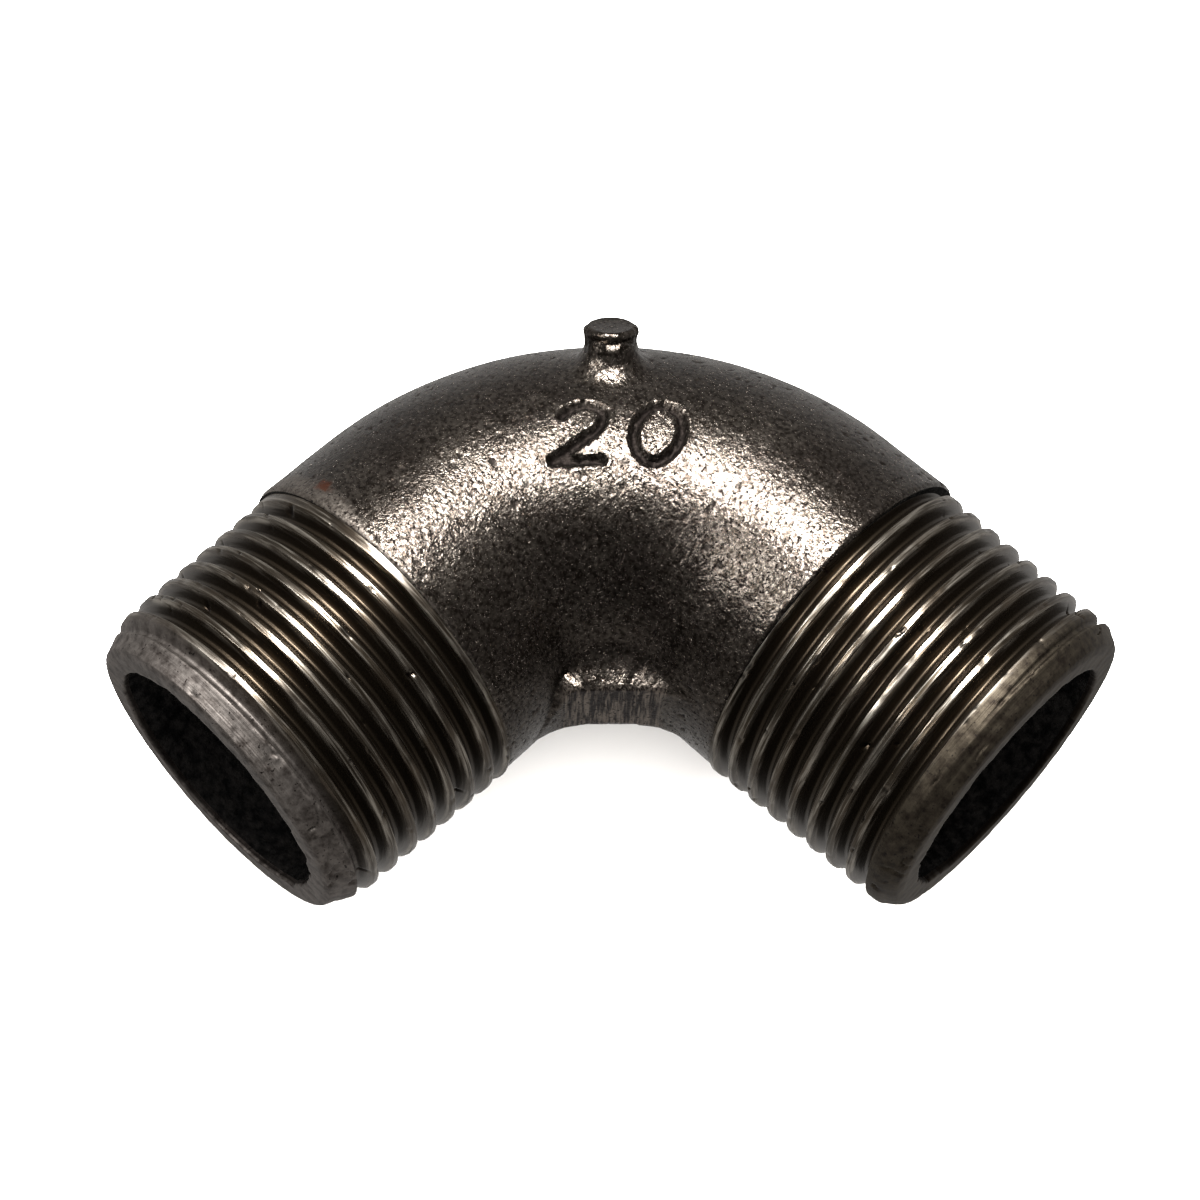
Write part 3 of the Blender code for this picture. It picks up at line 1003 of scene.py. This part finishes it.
FLOOR_SIZE = 6.0  # metres
ROOM_PALE = 4.5  # brightness of the room, as the floor and the viewer see it
ROOM_FRONT = 0.10  # and as the iron reflects it: towards the viewer, away from them, and below
ROOM_BACK = 0.50
ROOM_BELOW = 0.52
ROOM_SPREAD = 0.9  # cosines to the inward and outward directions where the two sides are reached
ROOM_HORIZON = (0.03, -0.25)  # the lower part sets in between these heights of the reflected ray
ROOM_TINT = (1.0, 0.97, 0.94, 1)
OVERHEAD_LIGHT = (-0.04, 0.23, 1.0)  # the way to each light: sideways, outward and up
OVERHEAD_STRENGTH = 13.0
OVERHEAD_ANGLE = math.radians(15)
LEFT_LIGHT = (-0.656, -0.06, 0.752)
LEFT_STRENGTH = 2.4
LEFT_ANGLE = math.radians(14)
CAMERA_LENS = 68.5
CAMERA_SENSOR = 36.0
CAMERA_REACH = (0.01, 20)  # metres, nearest and furthest
CAMERA_ELEVATION = math.radians(59.73)
CAMERA_SWING = math.radians(-3.54)  # from the line of the inward bisector
CAMERA_ROLL = math.radians(-2.94)
CAMERA_FRAMING = (0.475, 11.64, -175.91)  # the crossing of the port axes, as the camera sees it


def add_floor():
    builder = bmesh.new()
    bmesh.ops.create_grid(builder, x_segments=1, y_segments=1, size=FLOOR_SIZE / 2)
    mesh = bpy.data.meshes.new("floor")
    builder.to_mesh(mesh)
    builder.free()
    mesh.materials.append(floor_finish())
    floor = bpy.data.objects.new("floor", mesh)
    floor.visible_glossy = False  # the iron reflects the room's own lower half instead
    bpy.context.scene.collection.objects.link(floor)


def add_light(name, towards, strength, angle):
    """A soft light so far off that it fills a round patch of sky of this angle."""
    data = bpy.data.lights.new(name, "SUN")
    data.energy = strength
    data.angle = angle
    light = bpy.data.objects.new(name, data)
    sky = ACROSS * towards[0] + OUTWARD * towards[1] + UP * towards[2]
    light.rotation_mode = "QUATERNION"
    light.rotation_quaternion = Vector(sky).to_track_quat("Z", "Y")
    bpy.context.scene.collection.objects.link(light)


def add_world():
    """A pale room for the floor and the view; in reflections a dimmer one, darkest on the near side."""
    world = bpy.data.worlds.new("studio")
    world.use_nodes = True
    nodes = world.node_tree.nodes
    links = world.node_tree.links
    background = nodes["Background"]
    direction = nodes.new("ShaderNodeTexCoord")
    towards_back = nodes.new("ShaderNodeVectorMath")
    towards_back.operation = "DOT_PRODUCT"
    towards_back.inputs[1].default_value = OUTWARD
    links.new(direction.outputs["Generated"], towards_back.inputs[0])
    wall = nodes.new("ShaderNodeMapRange")
    wall.inputs["From Min"].default_value = -ROOM_SPREAD
    wall.inputs["From Max"].default_value = ROOM_SPREAD
    wall.inputs["To Min"].default_value = ROOM_FRONT
    wall.inputs["To Max"].default_value = ROOM_BACK
    links.new(towards_back.outputs["Value"], wall.inputs["Value"])
    height = nodes.new("ShaderNodeSeparateXYZ")
    links.new(direction.outputs["Generated"], height.inputs[0])
    below = nodes.new("ShaderNodeMapRange")
    below.inputs["From Min"].default_value = ROOM_HORIZON[0]
    below.inputs["From Max"].default_value = ROOM_HORIZON[1]
    links.new(height.outputs["Z"], below.inputs["Value"])
    room = nodes.new("ShaderNodeMix")
    room.inputs["B"].default_value = ROOM_BELOW
    links.new(below.outputs["Result"], room.inputs["Factor"])
    links.new(wall.outputs["Result"], room.inputs["A"])
    ray = nodes.new("ShaderNodeLightPath")
    strength = nodes.new("ShaderNodeMix")
    strength.inputs["A"].default_value = ROOM_PALE
    links.new(ray.outputs["Is Glossy Ray"], strength.inputs["Factor"])
    links.new(room.outputs["Result"], strength.inputs["B"])
    links.new(strength.outputs["Result"], background.inputs["Strength"])
    background.inputs["Color"].default_value = ROOM_TINT
    bpy.context.scene.world = world


def add_camera():
    data = bpy.data.cameras.new("camera")
    data.sensor_width = CAMERA_SENSOR
    data.lens = CAMERA_LENS
    data.clip_start, data.clip_end = CAMERA_REACH
    level = math.cos(CAMERA_ELEVATION)
    back = (ACROSS * math.sin(CAMERA_SWING) - OUTWARD * math.cos(CAMERA_SWING)) * level
    back = back + UP * math.sin(CAMERA_ELEVATION)
    right = ACROSS * math.cos(CAMERA_SWING) + OUTWARD * math.sin(CAMERA_SWING)
    above = np.cross(back, right)
    rolled_right = right * math.cos(CAMERA_ROLL) - above * math.sin(CAMERA_ROLL)
    rolled_above = right * math.sin(CAMERA_ROLL) + above * math.cos(CAMERA_ROLL)
    place = CROSSING - np.stack((rolled_right, rolled_above, back), axis=1) @ CAMERA_FRAMING
    matrix = Matrix.Identity(4)
    for column, vector in enumerate((rolled_right, rolled_above, back, place * MM)):
        for row in range(3):
            matrix[row][column] = vector[row]
    camera = bpy.data.objects.new("camera", data)
    camera.matrix_world = matrix
    bpy.context.scene.collection.objects.link(camera)
    bpy.context.scene.camera = camera


# ---------------------------------------------------------------------------------------------
# Assembly
# ---------------------------------------------------------------------------------------------

# The end chamfers, as pairs of distance behind the end face and radius
RIM_A = ((0.0, 11.6), (0.15, 11.95), (0.5, 12.25), (0.9, 12.48), (1.4, 12.85), (1.8, 13.07), (3.0, 13.9))
RIM_B = ((0.0, 11.4), (0.15, 11.68), (0.5, 11.86), (1.0, 12.07), (1.5, 12.35), (2.2, 12.64), (4.0, 13.5))

port_a = Port(
    "threaded_end_a", PORT_A, first_turn=0.25, lead_in=(1.3, 2.3), run_out=(16.1, 17.2),
    shoulder=PORT_A_SHOULDER, rim=RIM_A, ragged_side=math.radians(150), seed=40,
)
port_b = Port(
    "threaded_end_b", PORT_B, first_turn=0.72, lead_in=(0.0, 1.2), run_out=(15.6, 16.4),
    shoulder=PORT_B_SHOULDER, rim=RIM_B, ragged_side=math.radians(30), seed=60,
)

skin = cast_skin()
soot_and_shade = bore_skin()
bend = build_bend([skin, soot_and_shade])
stub = build_stub([skin])
thread_a = cut_thread(port_a, RIM_A_COLOURS)
thread_b = cut_thread(port_b, RIM_B_COLOURS)
end_a = build_threaded_end(port_a, [thread_a, soot_and_shade])
end_b = build_threaded_end(port_b, [thread_b, soot_and_shade])
for piece in (bend, stub, end_a, end_b):
    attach(piece, "root")
    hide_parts("elbow_casting")

add_floor()
add_world()
add_light("overhead_light", OVERHEAD_LIGHT, OVERHEAD_STRENGTH, OVERHEAD_ANGLE)
add_light("left_light", LEFT_LIGHT, LEFT_STRENGTH, LEFT_ANGLE)
add_camera()
bpy.context.scene.view_settings.view_transform = "Standard"
